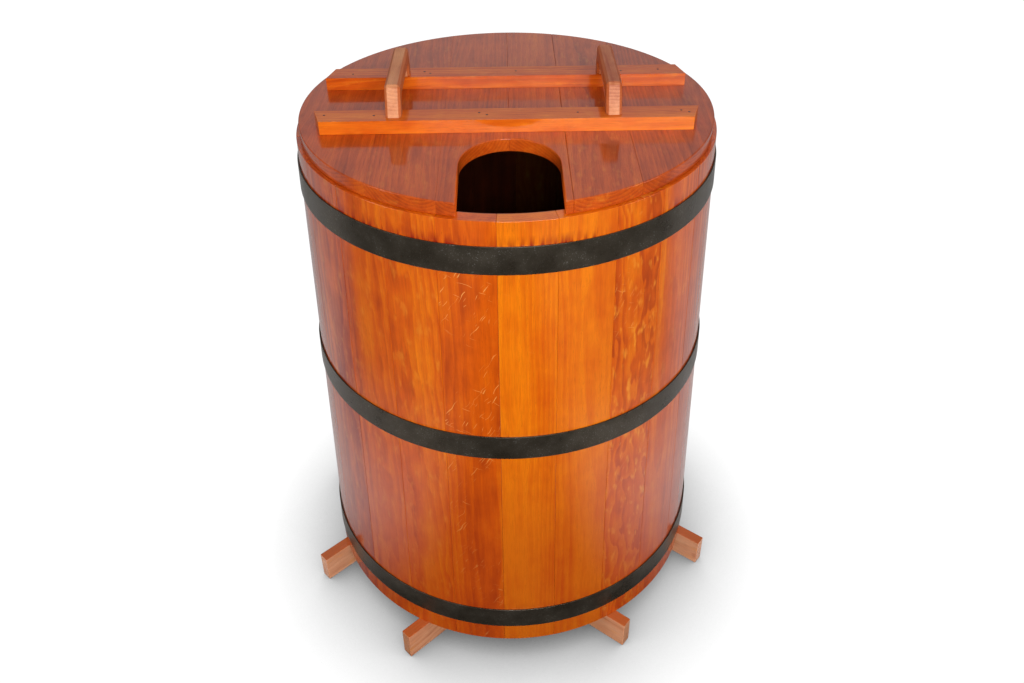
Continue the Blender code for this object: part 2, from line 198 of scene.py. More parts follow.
def buildStudio(sizes):
    bpy.ops.mesh.primitive_plane_add(size=sizes["floor"], location=(0, 0, 0))
    floor = bpy.context.object
    floor.name = "floor"
    material, tree, shader = newMaterial("pale floor")
    place = objectPlace(tree)
    x, y, _ = separate(tree, place)
    far = vectorMaths(tree, "LENGTH", place)
    low, high = sizes["nearSpan"]
    around = between(tree, far, low, high, sizes["nearBounce"], sizes["farBounce"], smooth=True)
    low, high = sizes["middleSpan"]
    beside = between(tree, maths(tree, "ABSOLUTE", x), low, high, sizes["middleBounce"], 1.0, smooth=True)
    low, high = sizes["backSpan"]
    behind = between(tree, y, low, high, smooth=True)
    front = maths(tree, "MULTIPLY", around, beside)
    front = maths(tree, "MULTIPLY", front, maths(tree, "SUBTRACT", 1.0, behind))
    bounce = maths(tree, "MULTIPLY_ADD", behind, sizes["sideBounce"], front)
    seen = addNode(tree, "ShaderNodeLightPath").outputs["Is Camera Ray"]
    diffuse = addNode(tree, "ShaderNodeBsdfDiffuse", {"Color": bounce})
    near = addNode(tree, "ShaderNodeAmbientOcclusion", {"Distance": sizes["shadowReach"]}, samples=16)
    dim = maths(tree, "POWER", near.outputs["AO"], sizes["shadowDepth"])
    pale = addNode(tree, "ShaderNodeEmission", {"Color": dim, "Strength": sizes["floorShade"]})
    above = mixShader(tree, seen, diffuse.outputs[0], pale.outputs[0])
    below = addNode(tree, "ShaderNodeNewGeometry").outputs["Backfacing"]  # clear when seen from below
    clear = addNode(tree, "ShaderNodeBsdfTransparent").outputs[0]
    both = mixShader(tree, below, above, clear)
    tree.links.new(both, tree.nodes["Material Output"].inputs["Surface"])
    tree.nodes.remove(shader)
    floor.data.materials.append(material)
    world = bpy.data.worlds.new("studio")
    bpy.context.scene.world = world
    world.use_nodes = True
    background = world.node_tree.nodes["Background"]
    background.inputs["Color"].default_value = (1, 1, 1, 1)
    background.inputs["Strength"].default_value = sizes["sky"]
    for row in sizes["lights"]:
        addAreaLight(*row)


buildStudio(studio)
bpy.context.scene.view_settings.view_transform = "Standard"
print("studio")


# sizes that the pieces share

barrel = {
    "foot": 0.0703,
    "length": 1.043,
    "footRadius": 0.4280,
    "rimRadius": 0.3970,
    "wall": 0.027,
    "floorLow": 0.1053,
    "floorHigh": 0.1293,
    "groove": 0.010,
    "gap": 0.0003,
}
lid = {"low": 1.1136, "high": 1.1392, "radius": 0.3900}


# wood

woodLook = {
    "pale": (0.90, 0.215, 0.003, 1),
    "middle": (0.70, 0.105, 0.002, 1),
    "deep": (0.34, 0.028, 0.002, 1),
    "line": (0.14, 0.010, 0.002, 1),
    "fleck": (0.90, 0.42, 0.10, 1),
    # painted sheen: golden colour for the chatoyance highlights of figured wood
    "paintedSheen": (0.95, 0.36, 0.03, 1),
    "stain": (0.30, 0.012, 0.003, 1),
    # painted light by face direction: faces facing up or along x are mixed towards this colour by the shares
    # below
    "top": (0.50, 0.085, 0.004, 1),
    "topTone": 0.0,
    "sideTone": 0.0,
    "ringGap": 0.0062,
    "ringShow": 0.16,
    "fibreShow": 0.24,
    "poreShow": 0.30,
    "broadShow": 0.34,
    "roughness": 0.45,
    "specular": 0.10,
    "coat": 1.0,
    "coatRoughness": 0.09,
    "coatIor": 1.5,
    "bump": 0.08,
}


wallLook = {
    # painted shade: from z 0.75 m down to 0.3 m the staves are mixed up to 0.40 towards the deep colour,
    # darker towards the foot
    "paintedFootShade": (0.75, 0.3, 0.40),
    "stains": {"hoop_top": 1.0, "hoop_middle": 0.3, "hoop_bottom": 0.3},
    "stainRise": 0.020,
    "stainFall": 0.02,
    # painted shade: the inner faces of the staves are mixed by this share towards this near-black, standing
    # for the shade inside the barrel
    "inside": (0.014, 0.009, 0.006, 1),
    "insideShow": 0.84,
}


def rayFlecks(tree, place, turn, gap):
    x, y, z = separate(tree, place)
    along = maths(tree, "MULTIPLY_ADD", x, math.sin(turn), maths(tree, "MULTIPLY", z, math.cos(turn)))
    across = maths(tree, "MULTIPLY_ADD", x, math.cos(turn), maths(tree, "MULTIPLY", z, -math.sin(turn)))
    sway = noiseAt(tree, stretch(tree, place, 45, 45, 45), 1.0, 1.0)
    across = maths(tree, "MULTIPLY_ADD", sway, 0.010, across)
    turned = addNode(tree, "ShaderNodeCombineXYZ", {0: across, 1: y, 2: along}).outputs[0]
    lines = noiseAt(tree, stretch(tree, turned, 460, 50, 36), 1.0, 0.0)
    return between(tree, lines, gap, gap + 0.035)


def woodColour(tree, look, place, tone, figure, rays):
    warp = noiseAt(tree, stretch(tree, place, 8, 8, 1.2), 1.0, 3.0)
    curl = noiseAt(tree, stretch(tree, place, 26, 26, 8), 1.0, 2.0)
    reach = vectorMaths(tree, "LENGTH", stretch(tree, place, 1, 1, 0))
    bent = maths(tree, "MULTIPLY_ADD", warp, 0.030, reach)
    bent = maths(tree, "MULTIPLY_ADD", maths(tree, "MULTIPLY", curl, figure), 0.030, bent)
    turns = maths(tree, "FRACT", maths(tree, "DIVIDE", bent, look["ringGap"]))
    rise = between(tree, turns, 0.0, 0.82, smooth=True)
    drop = between(tree, turns, 0.88, 1.0, smooth=True)
    late = maths(tree, "SUBTRACT", rise, drop)
    broad = noiseAt(tree, stretch(tree, place, 24, 24, 2.0), 1.0, 4.0, 0.6)
    cloud = noiseAt(tree, stretch(tree, place, 22, 22, 16), 1.0, 3.0, 0.55)
    band = noiseAt(tree, stretch(tree, place, 150, 150, 5), 1.0, 3.0, 0.6)
    fibre = noiseAt(tree, stretch(tree, place, 1100, 1100, 34), 1.0, 3.0, 0.65)
    pore = noiseAt(tree, stretch(tree, place, 1600, 1600, 100), 1.0, 1.0, 0.5)
    ringShow = maths(tree, "MULTIPLY_ADD", figure, 0.20, look["ringShow"])
    depth = maths(tree, "MULTIPLY_ADD", maths(tree, "SUBTRACT", broad, 0.5), look["broadShow"] * 3, tone)
    depth = maths(tree, "MULTIPLY_ADD", maths(tree, "SUBTRACT", cloud, 0.5), 0.55, depth)
    depth = maths(tree, "MULTIPLY_ADD", maths(tree, "SUBTRACT", band, 0.5), 0.40, depth)
    depth = maths(tree, "MULTIPLY_ADD", maths(tree, "SUBTRACT", late, 0.5), ringShow, depth)
    first = mixColour(tree, between(tree, depth, 0.0, 0.5), look["pale"], look["middle"])
    colour = mixColour(tree, between(tree, depth, 0.5, 1.0), first, look["deep"])
    streak = maths(tree, "MULTIPLY", between(tree, fibre, 0.46, 0.72), look["fibreShow"])
    colour = mixColour(tree, streak, colour, look["line"])
    holes = maths(tree, "MULTIPLY", between(tree, pore, 0.62, 0.74), look["poreShow"])
    holes = maths(tree, "MULTIPLY", holes, between(tree, late, 0.6, 0.1))
    colour = mixColour(tree, holes, colour, look["line"])
    patch = noiseAt(tree, stretch(tree, place, 14, 14, 6), 1.0, 1.0)
    lines = maths(tree, "MAXIMUM", rayFlecks(tree, place, 0.55, 0.735), rayFlecks(tree, place, -1.2, 0.775))
    lines = maths(tree, "MULTIPLY", lines, between(tree, patch, 0.48, 0.60, 0.0, 0.7))
    colour = mixColour(tree, maths(tree, "MULTIPLY", lines, rays), colour, look["fleck"])
    # painted sheen: golden wisps where the figure is strong stand for the shifting chatoyance highlights
    wisp = noiseAt(tree, stretch(tree, place, 75, 75, 26), 1.0, 2.0, 0.6)
    paintedSheen = maths(tree, "MULTIPLY", between(tree, wisp, 0.56, 0.74, 0.0, 0.75), figure)
    colour = mixColour(tree, paintedSheen, colour, look["paintedSheen"])
    relief = maths(tree, "MULTIPLY_ADD", streak, -1.2, maths(tree, "MULTIPLY", holes, -1.6))
    relief = maths(tree, "MULTIPLY_ADD", late, 0.25, relief)
    return colour, relief, streak


# Paints shade on the inner faces of the staves: a near-black mixed over the wood colour there.
def paintInsideShade(tree, colour):
    place = objectPlace(tree)
    z = separate(tree, place)[2]
    slope = (barrel["rimRadius"] - barrel["footRadius"]) / barrel["length"]
    outer = maths(tree, "MULTIPLY_ADD", z, slope, barrel["footRadius"] - slope * barrel["foot"])
    reach = vectorMaths(tree, "LENGTH", stretch(tree, place, 1, 1, 0))
    depth = maths(tree, "SUBTRACT", outer, reach)
    inside = between(tree, depth, barrel["wall"] - 0.003, barrel["wall"] - 0.001)
    return mixColour(tree, inside, colour, mixColour(tree, wallLook["insideShow"], colour, wallLook["inside"]))


# Paints shade that darkens the staves towards the foot, then adds stains in runs just above each hoop's top
# edge.
def paintedFootShade(tree, colour, look):
    place = objectPlace(tree)
    z = separate(tree, place)[2]
    high, low, share = wallLook["paintedFootShade"]
    colour = mixColour(tree, between(tree, z, high, low, 0.0, share, smooth=True), colour, look["deep"])
    drips = noiseAt(tree, stretch(tree, place, 130, 130, 18), 1.0, 2.0)
    pools = noiseAt(tree, stretch(tree, place, 9, 9, 3), 1.0, 1.0)
    pools = between(tree, pools, 0.44, 0.58, 0.12, 0.95)
    runs = maths(tree, "MULTIPLY", between(tree, drips, 0.40, 0.62), pools)
    for hoop, share in wallLook["stains"].items():
        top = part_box(hoop)[1].z
        above = between(tree, z, top + wallLook["stainRise"], top, 0.0, share)
        below = between(tree, z, top - wallLook["stainFall"], top)
        spread = maths(tree, "MULTIPLY", maths(tree, "MULTIPLY", above, below), runs)
        colour = mixColour(tree, spread, colour, look["stain"])
    return colour


def makeWood(name, inside=False, **changes):
    look = {**woodLook, **changes}
    material, tree, shader = newMaterial(name)
    place = readAttribute(tree, "boardPlace", "Vector")
    kind = separate(tree, readAttribute(tree, "boardLook", "Vector"))
    colour, relief, streak = woodColour(tree, look, place, kind[0], kind[1], kind[2])
    # painted shade on the staves: darker towards the foot and near-black on the inner faces, plus real stains
    # above the hoops
    if inside:
        colour = paintInsideShade(tree, paintedFootShade(tree, colour, look))
    # painted light by face direction: up-facing faces and faces looking along x are mixed towards the top
    # colour
    if look["topTone"]:
        up = between(tree, facing(tree, 2), 0.2, 0.7, 0.0, look["topTone"])
        colour = mixColour(tree, up, colour, look["top"])
    if look["sideTone"]:
        side = maths(tree, "ABSOLUTE", facing(tree, 0))
        side = between(tree, side, 0.2, 0.7, 0.0, look["sideTone"])
        colour = mixColour(tree, side, colour, look["top"])
    tree.links.new(colour, shader.inputs["Base Color"])
    smear = noiseAt(tree, stretch(tree, place, 14, 14, 5), 1.0, 3.0)
    coatRough = between(tree, smear, 0.3, 0.75, look["coatRoughness"] * 0.7, look["coatRoughness"] * 1.7)
    tree.links.new(coatRough, shader.inputs["Coat Roughness"])
    rough = maths(tree, "MULTIPLY_ADD", streak, 0.3, look["roughness"])
    tree.links.new(rough, shader.inputs["Roughness"])
    shader.inputs["Specular IOR Level"].default_value = look["specular"]
    shader.inputs["Coat Weight"].default_value = look["coat"]
    shader.inputs["Coat IOR"].default_value = look["coatIor"]
    bump = addNode(tree, "ShaderNodeBump", {"Height": relief, "Strength": look["bump"], "Distance": 0.002})
    tree.links.new(bump.outputs[0], shader.inputs["Normal"])
    wave = noiseAt(tree, stretch(tree, place, 60, 60, 9), 1.0, 2.0)
    skin = addNode(tree, "ShaderNodeBump", {"Height": wave, "Strength": 0.10, "Distance": 0.002})
    tree.links.new(skin.outputs[0], shader.inputs["Coat Normal"])
    return material


staveWood = makeWood("stave wood", inside=True)
lidWood = makeWood(
    "lid wood",
    pale=(0.80, 0.165, 0.010, 1),
    middle=(0.60, 0.085, 0.005, 1),
    deep=(0.30, 0.032, 0.003, 1),
    fibreShow=0.34,
    coat=0.8,
)
battenWood = makeWood(
    "batten wood",
    pale=(0.90, 0.22, 0.010, 1),
    middle=(0.66, 0.10, 0.005, 1),
    specular=0.03,
    coat=0.75,
)
# painted shade: the handles' faces that look along x are mixed towards a darker colour, as if turned away from
# the light
handleWood = makeWood(
    "handle wood",
    pale=(0.90, 0.42, 0.20, 1),
    middle=(0.68, 0.25, 0.11, 1),
    coat=0.3,
    coatRoughness=0.42,
    sideTone=0.7,
)
# painted reflection and shade: the pink colours stand for the white floor reflected on the joist sides, and
# the up-facing tops are mixed back to a darker orange
joistWood = makeWood(
    "joist wood",
    pale=(0.96, 0.48, 0.27, 1),
    middle=(0.82, 0.34, 0.17, 1),
    topTone=0.85,
)
# painted shade: the floor boards and seat inside the barrel get dark colours that stand for the shade there,
# not the colour of the wood
innerShadeWood = makeWood(
    "inner wood, painted shade",
    pale=(0.16, 0.075, 0.032, 1),
    middle=(0.09, 0.038, 0.016, 1),
    deep=(0.04, 0.015, 0.008, 1),
    coat=0.25,
    coatRoughness=0.3,
)
print("wood")


# steel

def makeSteel(name, colour, metal, roughness, grime, specks=0.0):
    material, tree, shader = newMaterial(name)
    place = objectPlace(tree)
    cloud = noiseAt(tree, place, 18.0, 4.0, 0.6)
    grain = noiseAt(tree, place, 420.0, 3.0, 0.6)
    shade = mixColour(tree, between(tree, cloud, 0.35, 0.7), colour, grime)
    # pale grey specks scattered by noise
    speckShare = between(tree, cloud, 0.45, 0.62, 0.15, specks)
    spots = maths(tree, "MULTIPLY", between(tree, grain, 0.60, 0.68), speckShare)
    shade = mixColour(tree, spots, shade, (0.34, 0.32, 0.28, 1))
    tree.links.new(shade, shader.inputs["Base Color"])
    shader.inputs["Metallic"].default_value = metal
    rough = between(tree, cloud, 0.3, 0.7, roughness * 0.8, roughness * 1.3)
    tree.links.new(rough, shader.inputs["Roughness"])
    bump = addNode(tree, "ShaderNodeBump", {"Height": grain, "Strength": 0.45, "Distance": 0.0008})
    tree.links.new(bump.outputs[0], shader.inputs["Normal"])
    return material


hoopSteel = makeSteel("hoop steel", (0.066, 0.052, 0.036, 1), 0.72, 0.30, (0.115, 0.096, 0.072, 1), 0.8)
rivetSteel = makeSteel("rivet steel", (0.030, 0.029, 0.027, 1), 0.5, 0.36, (0.06, 0.05, 0.04, 1))
screwSteel = makeSteel("screw steel", (0.42, 0.40, 0.36, 1), 1.0, 0.32, (0.25, 0.23, 0.20, 1))
nailSteel = makeSteel("nail steel", (0.05, 0.030, 0.022, 1), 0.4, 0.5, (0.09, 0.045, 0.03, 1))
print("steel")


# pieces

def keepPiece(name, source, body, slot, *replaced):
    bpy.context.view_layer.update()
    evaluated = source.evaluated_get(bpy.context.evaluated_depsgraph_get())
    mesh = bpy.data.meshes.new_from_object(evaluated)
    mesh.name = name
    for spent in ("fromAngle", "sweep", "lift", "offset", "tilt", "turn"):
        if spent in mesh.attributes:
            mesh.attributes.remove(mesh.attributes[spent])
    piece = bpy.data.objects.new(name, mesh)
    bpy.context.scene.collection.objects.link(piece)
    bpy.data.objects.remove(source)
    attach(piece, body)
    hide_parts(*replaced)
    return piece


def addObject(name, mesh):
    made = bpy.data.objects.new(name, mesh)
    bpy.context.scene.collection.objects.link(made)
    return made


def bevelObject(thing, width, segments=2, angle=40):
    bevel = thing.modifiers.new("bevel", "BEVEL")
    bevel.width = width
    bevel.segments = segments
    bevel.limit_method = "ANGLE"
    bevel.angle_limit = math.radians(angle)
    bevel.harden_normals = True
    bevel.use_clamp_overlap = True


def meshOf(bm, name):
    bmesh.ops.recalc_face_normals(bm, faces=bm.faces)
    mesh = bpy.data.meshes.new(name)
    bm.to_mesh(mesh)
    bm.free()
    mesh.shade_smooth()
    return mesh


def newBoards():
    bm = bmesh.new()
    bm.verts.layers.float_vector.new("boardPlace")
    bm.verts.layers.float_vector.new("boardLook")
    return bm


def pourBoard(bm, part, across, along, look, seed, tilt=0.0):
    chance = random.Random(seed)
    place = bm.verts.layers.float_vector["boardPlace"]
    kind = bm.verts.layers.float_vector["boardLook"]
    across, along = Vector(across).normalized(), Vector(along).normalized()
    depth = along.cross(across)
    middle = sum((v.co for v in part.verts), Vector()) / len(part.verts)
    pith = Vector((chance.uniform(-0.05, 0.05), chance.uniform(0.04, 0.16), chance.uniform(0, 9)))
    lean = tilt or chance.uniform(-0.04, 0.04)
    made = {}
    for vert in part.verts:
        local = vert.co - middle
        length = local.dot(along)
        new = bm.verts.new(vert.co)
        new[place] = Vector((local.dot(across) + lean * length, local.dot(depth), length)) + pith
        new[kind] = look
        made[vert] = new
    for face in part.faces:
        bm.faces.new([made[v] for v in face.verts])
    part.free()


def cadPart(node):
    part = bmesh.new()
    part.from_mesh(nodes[node].data)
    bmesh.ops.remove_doubles(part, verts=part.verts, dist=0.00002)
    bmesh.ops.dissolve_limit(part, angle_limit=math.radians(0.6), verts=part.verts, edges=part.edges)
    return part


def prism(points, low, high):
    part = bmesh.new()
    bottom = [part.verts.new((x, y, low)) for x, y in points]
    top = [part.verts.new((x, y, high)) for x, y in points]
    part.faces.new(bottom)
    part.faces.new(top)
    for index in range(len(points)):
        after = (index + 1) % len(points)
        part.faces.new((bottom[index], bottom[after], top[after], top[index]))
    return part


def turned(profile, steps):
    bm = bmesh.new()
    verts = [bm.verts.new((radius, 0, z)) for radius, z in profile]
    edges = [bm.edges.new(pair) for pair in zip(verts, verts[1:])]
    bmesh.ops.spin(bm, geom=verts + edges, axis=(0, 0, 1), cent=(0, 0, 0), angle=math.tau, steps=steps)
    bmesh.ops.remove_doubles(bm, verts=bm.verts, dist=0.000002)
    return bm


# bending round the wall, by geometry nodes

def startTree(name):
    tree = bpy.data.node_groups.new(name, "GeometryNodeTree")
    tree.interface.new_socket("Points", in_out="INPUT", socket_type="NodeSocketGeometry")
    tree.interface.new_socket("Blank", in_out="INPUT", socket_type="NodeSocketObject")
    tree.interface.new_socket("Material", in_out="INPUT", socket_type="NodeSocketMaterial")
    tree.interface.new_socket("Pieces", in_out="OUTPUT", socket_type="NodeSocketGeometry")
    return tree, addNode(tree, "NodeGroupInput").outputs


def named(tree, name, kind="FLOAT"):
    made = addNode(tree, "GeometryNodeInputNamedAttribute", {"Name": name}, data_type=kind)
    return made.outputs["Attribute"]


def endTree(tree, geometry, material):
    finish = addNode(tree, "GeometryNodeSetMaterial", {"Geometry": geometry, "Material": material})
    addNode(tree, "NodeGroupOutput", {"Pieces": finish.outputs["Geometry"]})
    return tree


def buildBendTree():
    tree, given = startTree("bend round the wall")
    blank = addNode(tree, "GeometryNodeObjectInfo", {"Object": given["Blank"]}).outputs["Geometry"]
    copies = addNode(tree, "GeometryNodeInstanceOnPoints", {"Points": given["Points"], "Instance": blank})
    real = addNode(tree, "GeometryNodeRealizeInstances", {"Geometry": copies.outputs["Instances"]})
    share, depth, z = separate(tree, addNode(tree, "GeometryNodeInputPosition").outputs[0])
    height = maths(tree, "ADD", z, named(tree, "lift"))
    slope = (barrel["rimRadius"] - barrel["footRadius"]) / barrel["length"]
    atFoot = barrel["footRadius"] - slope * barrel["foot"]
    outer = maths(tree, "MULTIPLY_ADD", height, slope, atFoot)
    radius = maths(tree, "SUBTRACT", outer, depth)
    sweep = named(tree, "sweep")
    angle = maths(tree, "MULTIPLY_ADD", share, sweep, named(tree, "fromAngle"))
    centred = maths(tree, "SUBTRACT", share, 0.5)
    across = maths(tree, "MULTIPLY", maths(tree, "MULTIPLY", centred, sweep), radius)
    tilt = named(tree, "tilt")
    across = maths(tree, "MULTIPLY_ADD", height, tilt, across)
    local = addNode(tree, "ShaderNodeCombineXYZ", {0: across, 1: depth, 2: height}).outputs[0]
    place = vectorMaths(tree, "ADD", local, named(tree, "offset", "FLOAT_VECTOR"))
    stored = addNode(
        tree,
        "GeometryNodeStoreNamedAttribute",
        {"Geometry": real.outputs[0], "Name": "boardPlace", "Value": place},
        data_type="FLOAT_VECTOR",
        domain="POINT",
    )
    x = maths(tree, "MULTIPLY", radius, maths(tree, "SINE", angle))
    y = maths(tree, "MULTIPLY", maths(tree, "MULTIPLY", radius, maths(tree, "COSINE", angle)), -1.0)
    bent = addNode(tree, "ShaderNodeCombineXYZ", {0: x, 1: y, 2: height}).outputs[0]
    moved = addNode(tree, "GeometryNodeSetPosition", {"Geometry": stored.outputs[0], "Position": bent})
    return endTree(tree, moved.outputs[0], given["Material"])


def buildCopyTree():
    tree, given = startTree("copies on points")
    blank = addNode(tree, "GeometryNodeObjectInfo", {"Object": given["Blank"]}).outputs["Geometry"]
    turn = addNode(tree, "FunctionNodeEulerToRotation", {0: named(tree, "turn", "FLOAT_VECTOR")}).outputs[0]
    settings = {"Points": given["Points"], "Instance": blank, "Rotation": turn}
    copies = addNode(tree, "GeometryNodeInstanceOnPoints", settings)
    real = addNode(tree, "GeometryNodeRealizeInstances", {"Geometry": copies.outputs["Instances"]})
    return endTree(tree, real.outputs[0], given["Material"])


def pointObject(name, places, **values):
    mesh = bpy.data.meshes.new(name)
    mesh.from_pydata(places, [], [])
    for key, numbers in values.items():
        vector = isinstance(numbers[0], (tuple, list, Vector))
        layer = mesh.attributes.new(key, "FLOAT_VECTOR" if vector else "FLOAT", "POINT")
        if vector:
            layer.data.foreach_set("vector", [part for row in numbers for part in row])
        else:
            layer.data.foreach_set("value", numbers)
    return addObject(name, mesh)


def runTree(points, tree, blank, material):
    modifier = points.modifiers.new("copies", "NODES")
    modifier.node_group = tree
    for item in tree.interface.items_tree:
        if item.name == "Blank":
            modifier[item.identifier] = blank
        if item.name == "Material":
            modifier[item.identifier] = material
    return points


bendTree = buildBendTree()
copyTree = buildCopyTree()


# staves

staveSizes = {"steps": 12, "edge": 0.0010, "count": 24, "close": 0.0007}
frontStaves = (
    (0.48, 0.3, 0.0, 0.02),
    (0.40, 0.4, 0.05, 0.03),
    (0.50, 0.05, 1.0, 0.01),
    (0.12, 0.0, 0.1, 0.004),
    (0.20, 0.05, 0.0, 0.01),
    (0.42, 0.9, 0.6, 0.03),
    (0.50, 0.2, 0.1, 0.01),
    (0.66, 0.2, 0.0, 0.02),
)
leftStaves = ((0.74, 0.3, 0.2, 0.03), (0.66, 0.1, 0.0, 0.02), (0.60, 0.6, 0.1, 0.04))


def staveLooks(count):
    chance = random.Random(5)
    looks = list(frontStaves)
    while len(looks) < count - len(leftStaves):
        tone, figure = chance.uniform(0.15, 0.75), chance.choice((0.0, 0.1, 0.5, 0.9))
        looks.append((tone, figure, chance.choice((0.0, 0.1, 0.8)), chance.uniform(-0.05, 0.05)))
    return looks + list(leftStaves[::-1])


def staveBlank(sizes):
    foot, top = barrel["foot"], barrel["foot"] + barrel["length"]
    wall, groove = barrel["wall"], barrel["wall"] - barrel["groove"]
    low, high = barrel["floorLow"] - barrel["gap"], barrel["floorHigh"] + barrel["gap"]
    profile = [(0, foot), (0, top), (wall, top), (wall, high)]
    profile += [(groove, high), (groove, low), (wall, low), (wall, foot)]  # the groove for the floor
    bm = bmesh.new()
    rings = []
    for step in range(sizes["steps"] + 1):
        rings.append([bm.verts.new((step / sizes["steps"], depth, z)) for depth, z in profile])
    for near, far in zip(rings, rings[1:]):
        for index in range(len(profile)):
            after = (index + 1) % len(profile)
            bm.faces.new((near[index], near[after], far[after], far[index]))
    bm.faces.new(rings[0])
    bm.faces.new(rings[-1])
    return meshOf(bm, "stave blank")


def staveSpan(node):
    angles = [math.atan2(v.co.x, -v.co.y) for v in nodes[node].data.vertices]
    if max(angles) - min(angles) > math.pi:
        angles = [a % math.tau for a in angles]
    return min(angles), max(angles) - min(angles)


def buildStaves(sizes):
    names = [f"stave_{index + 1:02d}" for index in range(sizes["count"])]
    spans = [staveSpan(name) for name in names]
    looks = staveLooks(len(names))
    chance = random.Random(11)
    offsets = [
        (chance.uniform(-0.05, 0.05), chance.uniform(0.05, 0.16), chance.uniform(0, 9)) for _ in names
    ]
    points = pointObject(
        "stave points",
        [(0, 0, 0)] * len(names),
        fromAngle=[span[0] - sizes["close"] / 2 for span in spans],
        sweep=[span[1] + sizes["close"] for span in spans],
        lift=[0.0] * len(names),
        offset=offsets,
        tilt=[look[3] for look in looks],
        boardLook=[look[:3] for look in looks],
    )
    blank = addObject("stave blank", staveBlank(sizes))
    runTree(points, bendTree, blank, staveWood)
    bevelObject(points, sizes["edge"])
    keepPiece("staves", points, "barrel", "stave_wood", *names)
    bpy.data.objects.remove(blank)


buildStaves(staveSizes)
print("staves")


# hoops and their rivets

hoopSizes = {
    "width": 0.0527,
    "thick": 0.0025,
    "clear": 0.0005,
    "step": math.radians(1.25),
    "lap": math.radians(10),
    "ramp": math.radians(5),
    "edge": 0.0006,
    "laps": {"hoop_top": 172.0, "hoop_middle": 196.0, "hoop_bottom": 163.0},
    "rivetHead": (
        (0, 0.0025), (0.0022, 0.0024), (0.0042, 0.0020), (0.0058, 0.0012),
        (0.0065, 0.0004), (0.0065, -0.001), (0, -0.001),
    ),
    "rivetSteps": 28,
}


def hoopBlank(sizes):
    whole = math.tau + sizes["lap"]
    count = round(whole / sizes["step"])
    bm = bmesh.new()
    rings = []
    for index in range(count + 1):
        angle = whole * index / count
        out = min(max((angle - math.tau + sizes["ramp"]) / sizes["ramp"], 0), 1)
        inner = -sizes["clear"] - out * (sizes["thick"] + barrel["gap"])
        outer = inner - sizes["thick"]
        corners = ((outer, 0), (outer, sizes["width"]), (inner, sizes["width"]), (inner, 0))
        rings.append([bm.verts.new((index / count, depth, z)) for depth, z in corners])
    for near, far in zip(rings, rings[1:]):
        for index in range(4):
            after = (index + 1) % 4
            bm.faces.new((near[index], near[after], far[after], far[index]))
    bm.faces.new(rings[0])
    bm.faces.new(rings[-1])
    return meshOf(bm, "hoop blank")


def wallRadius(z):
    share = (z - barrel["foot"]) / barrel["length"]
    return barrel["footRadius"] + (barrel["rimRadius"] - barrel["footRadius"]) * share


def buildHoops(sizes):
    names = list(sizes["laps"])
    lows = [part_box(name)[0].z for name in names]
    starts = [math.radians(sizes["laps"][name]) for name in names]
    points = pointObject(
        "hoop points",
        [(0, 0, 0)] * len(names),
        fromAngle=starts,
        sweep=[math.tau + sizes["lap"]] * len(names),
        lift=lows,
        offset=[(0.0, 0.0, 0.0)] * len(names),
        tilt=[0.0] * len(names),
    )
    blank = addObject("hoop blank", hoopBlank(sizes))
    runTree(points, bendTree, blank, hoopSteel)
    bevelObject(points, sizes["edge"])
    keepPiece("hoops", points, "barrel", "hoop_steel", *names)
    bpy.data.objects.remove(blank)
    lean = math.atan2(barrel["footRadius"] - barrel["rimRadius"], barrel["length"])
    seat = sizes["clear"] + 2 * sizes["thick"] + barrel["gap"]
    places, turns, rivets = [], [], []
    for name, low, start in zip(names, lows, starts):
        for index in (0, 1):
            angle = start + sizes["lap"] * (0.25 + 0.5 * index)
            z = low + sizes["width"] / 2
            radius = wallRadius(z) + seat
            places.append((radius * math.sin(angle), -radius * math.cos(angle), z))
            turns.append((math.pi / 2 - lean, 0.0, angle))
            rivets.append(f"{name.replace('hoop', 'rivet')}_{index + 1}")
    points = pointObject("rivet points", places, turn=turns)
    blank = addObject("rivet blank", meshOf(turned(sizes["rivetHead"], sizes["rivetSteps"]), "rivet blank"))
    runTree(points, copyTree, blank, rivetSteel)
    keepPiece("rivets", points, "barrel", "rivet_steel", *rivets)
    bpy.data.objects.remove(blank)


buildHoops(hoopSizes)
print("hoops")


# lid boards

lidSizes = {
    "seams": (-0.235, -0.115, 0.004, 0.104, 0.220),
    "notchCentre": 0.004,
    "notchHalf": 0.087,
    "notchArch": 0.098,
    "notchStraight": -0.251,
    "edge": 0.0022,
    "seamEdges": (0.12, 0.18, 0.40, 0.62, 0.34),
    "looks": (
        (0.56, 0.1, 0.0),
        (0.58, 0.2, 0.0),
        (0.52, 0.1, 0.1),
        (0.44, 0.1, 0.0),
        (0.52, 0.3, 0.1),
        (0.66, 0.1, 0.0),
    ),
    "arcStep": 0.004,
}


def stepsBetween(low, high, step):
    count = max(2, math.ceil(abs(high - low) / step))
    return [low + (high - low) * index / count for index in range(count + 1)]


def rimArc(left, right, radius, side, step):
    first, last = math.asin(max(left / radius, -1)), math.asin(min(right / radius, 1))
    angles = stepsBetween(first, last, step / radius)
    return [(radius * math.sin(a), side * radius * math.cos(a)) for a in angles]


def notchArc(left, right, sizes):
    half, centre = sizes["notchHalf"], sizes["notchCentre"]
    first, last = math.asin(max((left - centre) / half, -1)), math.asin(min((right - centre) / half, 1))
    return [
        (centre + half * math.sin(a), sizes["notchStraight"] + sizes["notchArch"] * math.cos(a))
        for a in stepsBetween(first, last, 0.06)
    ]


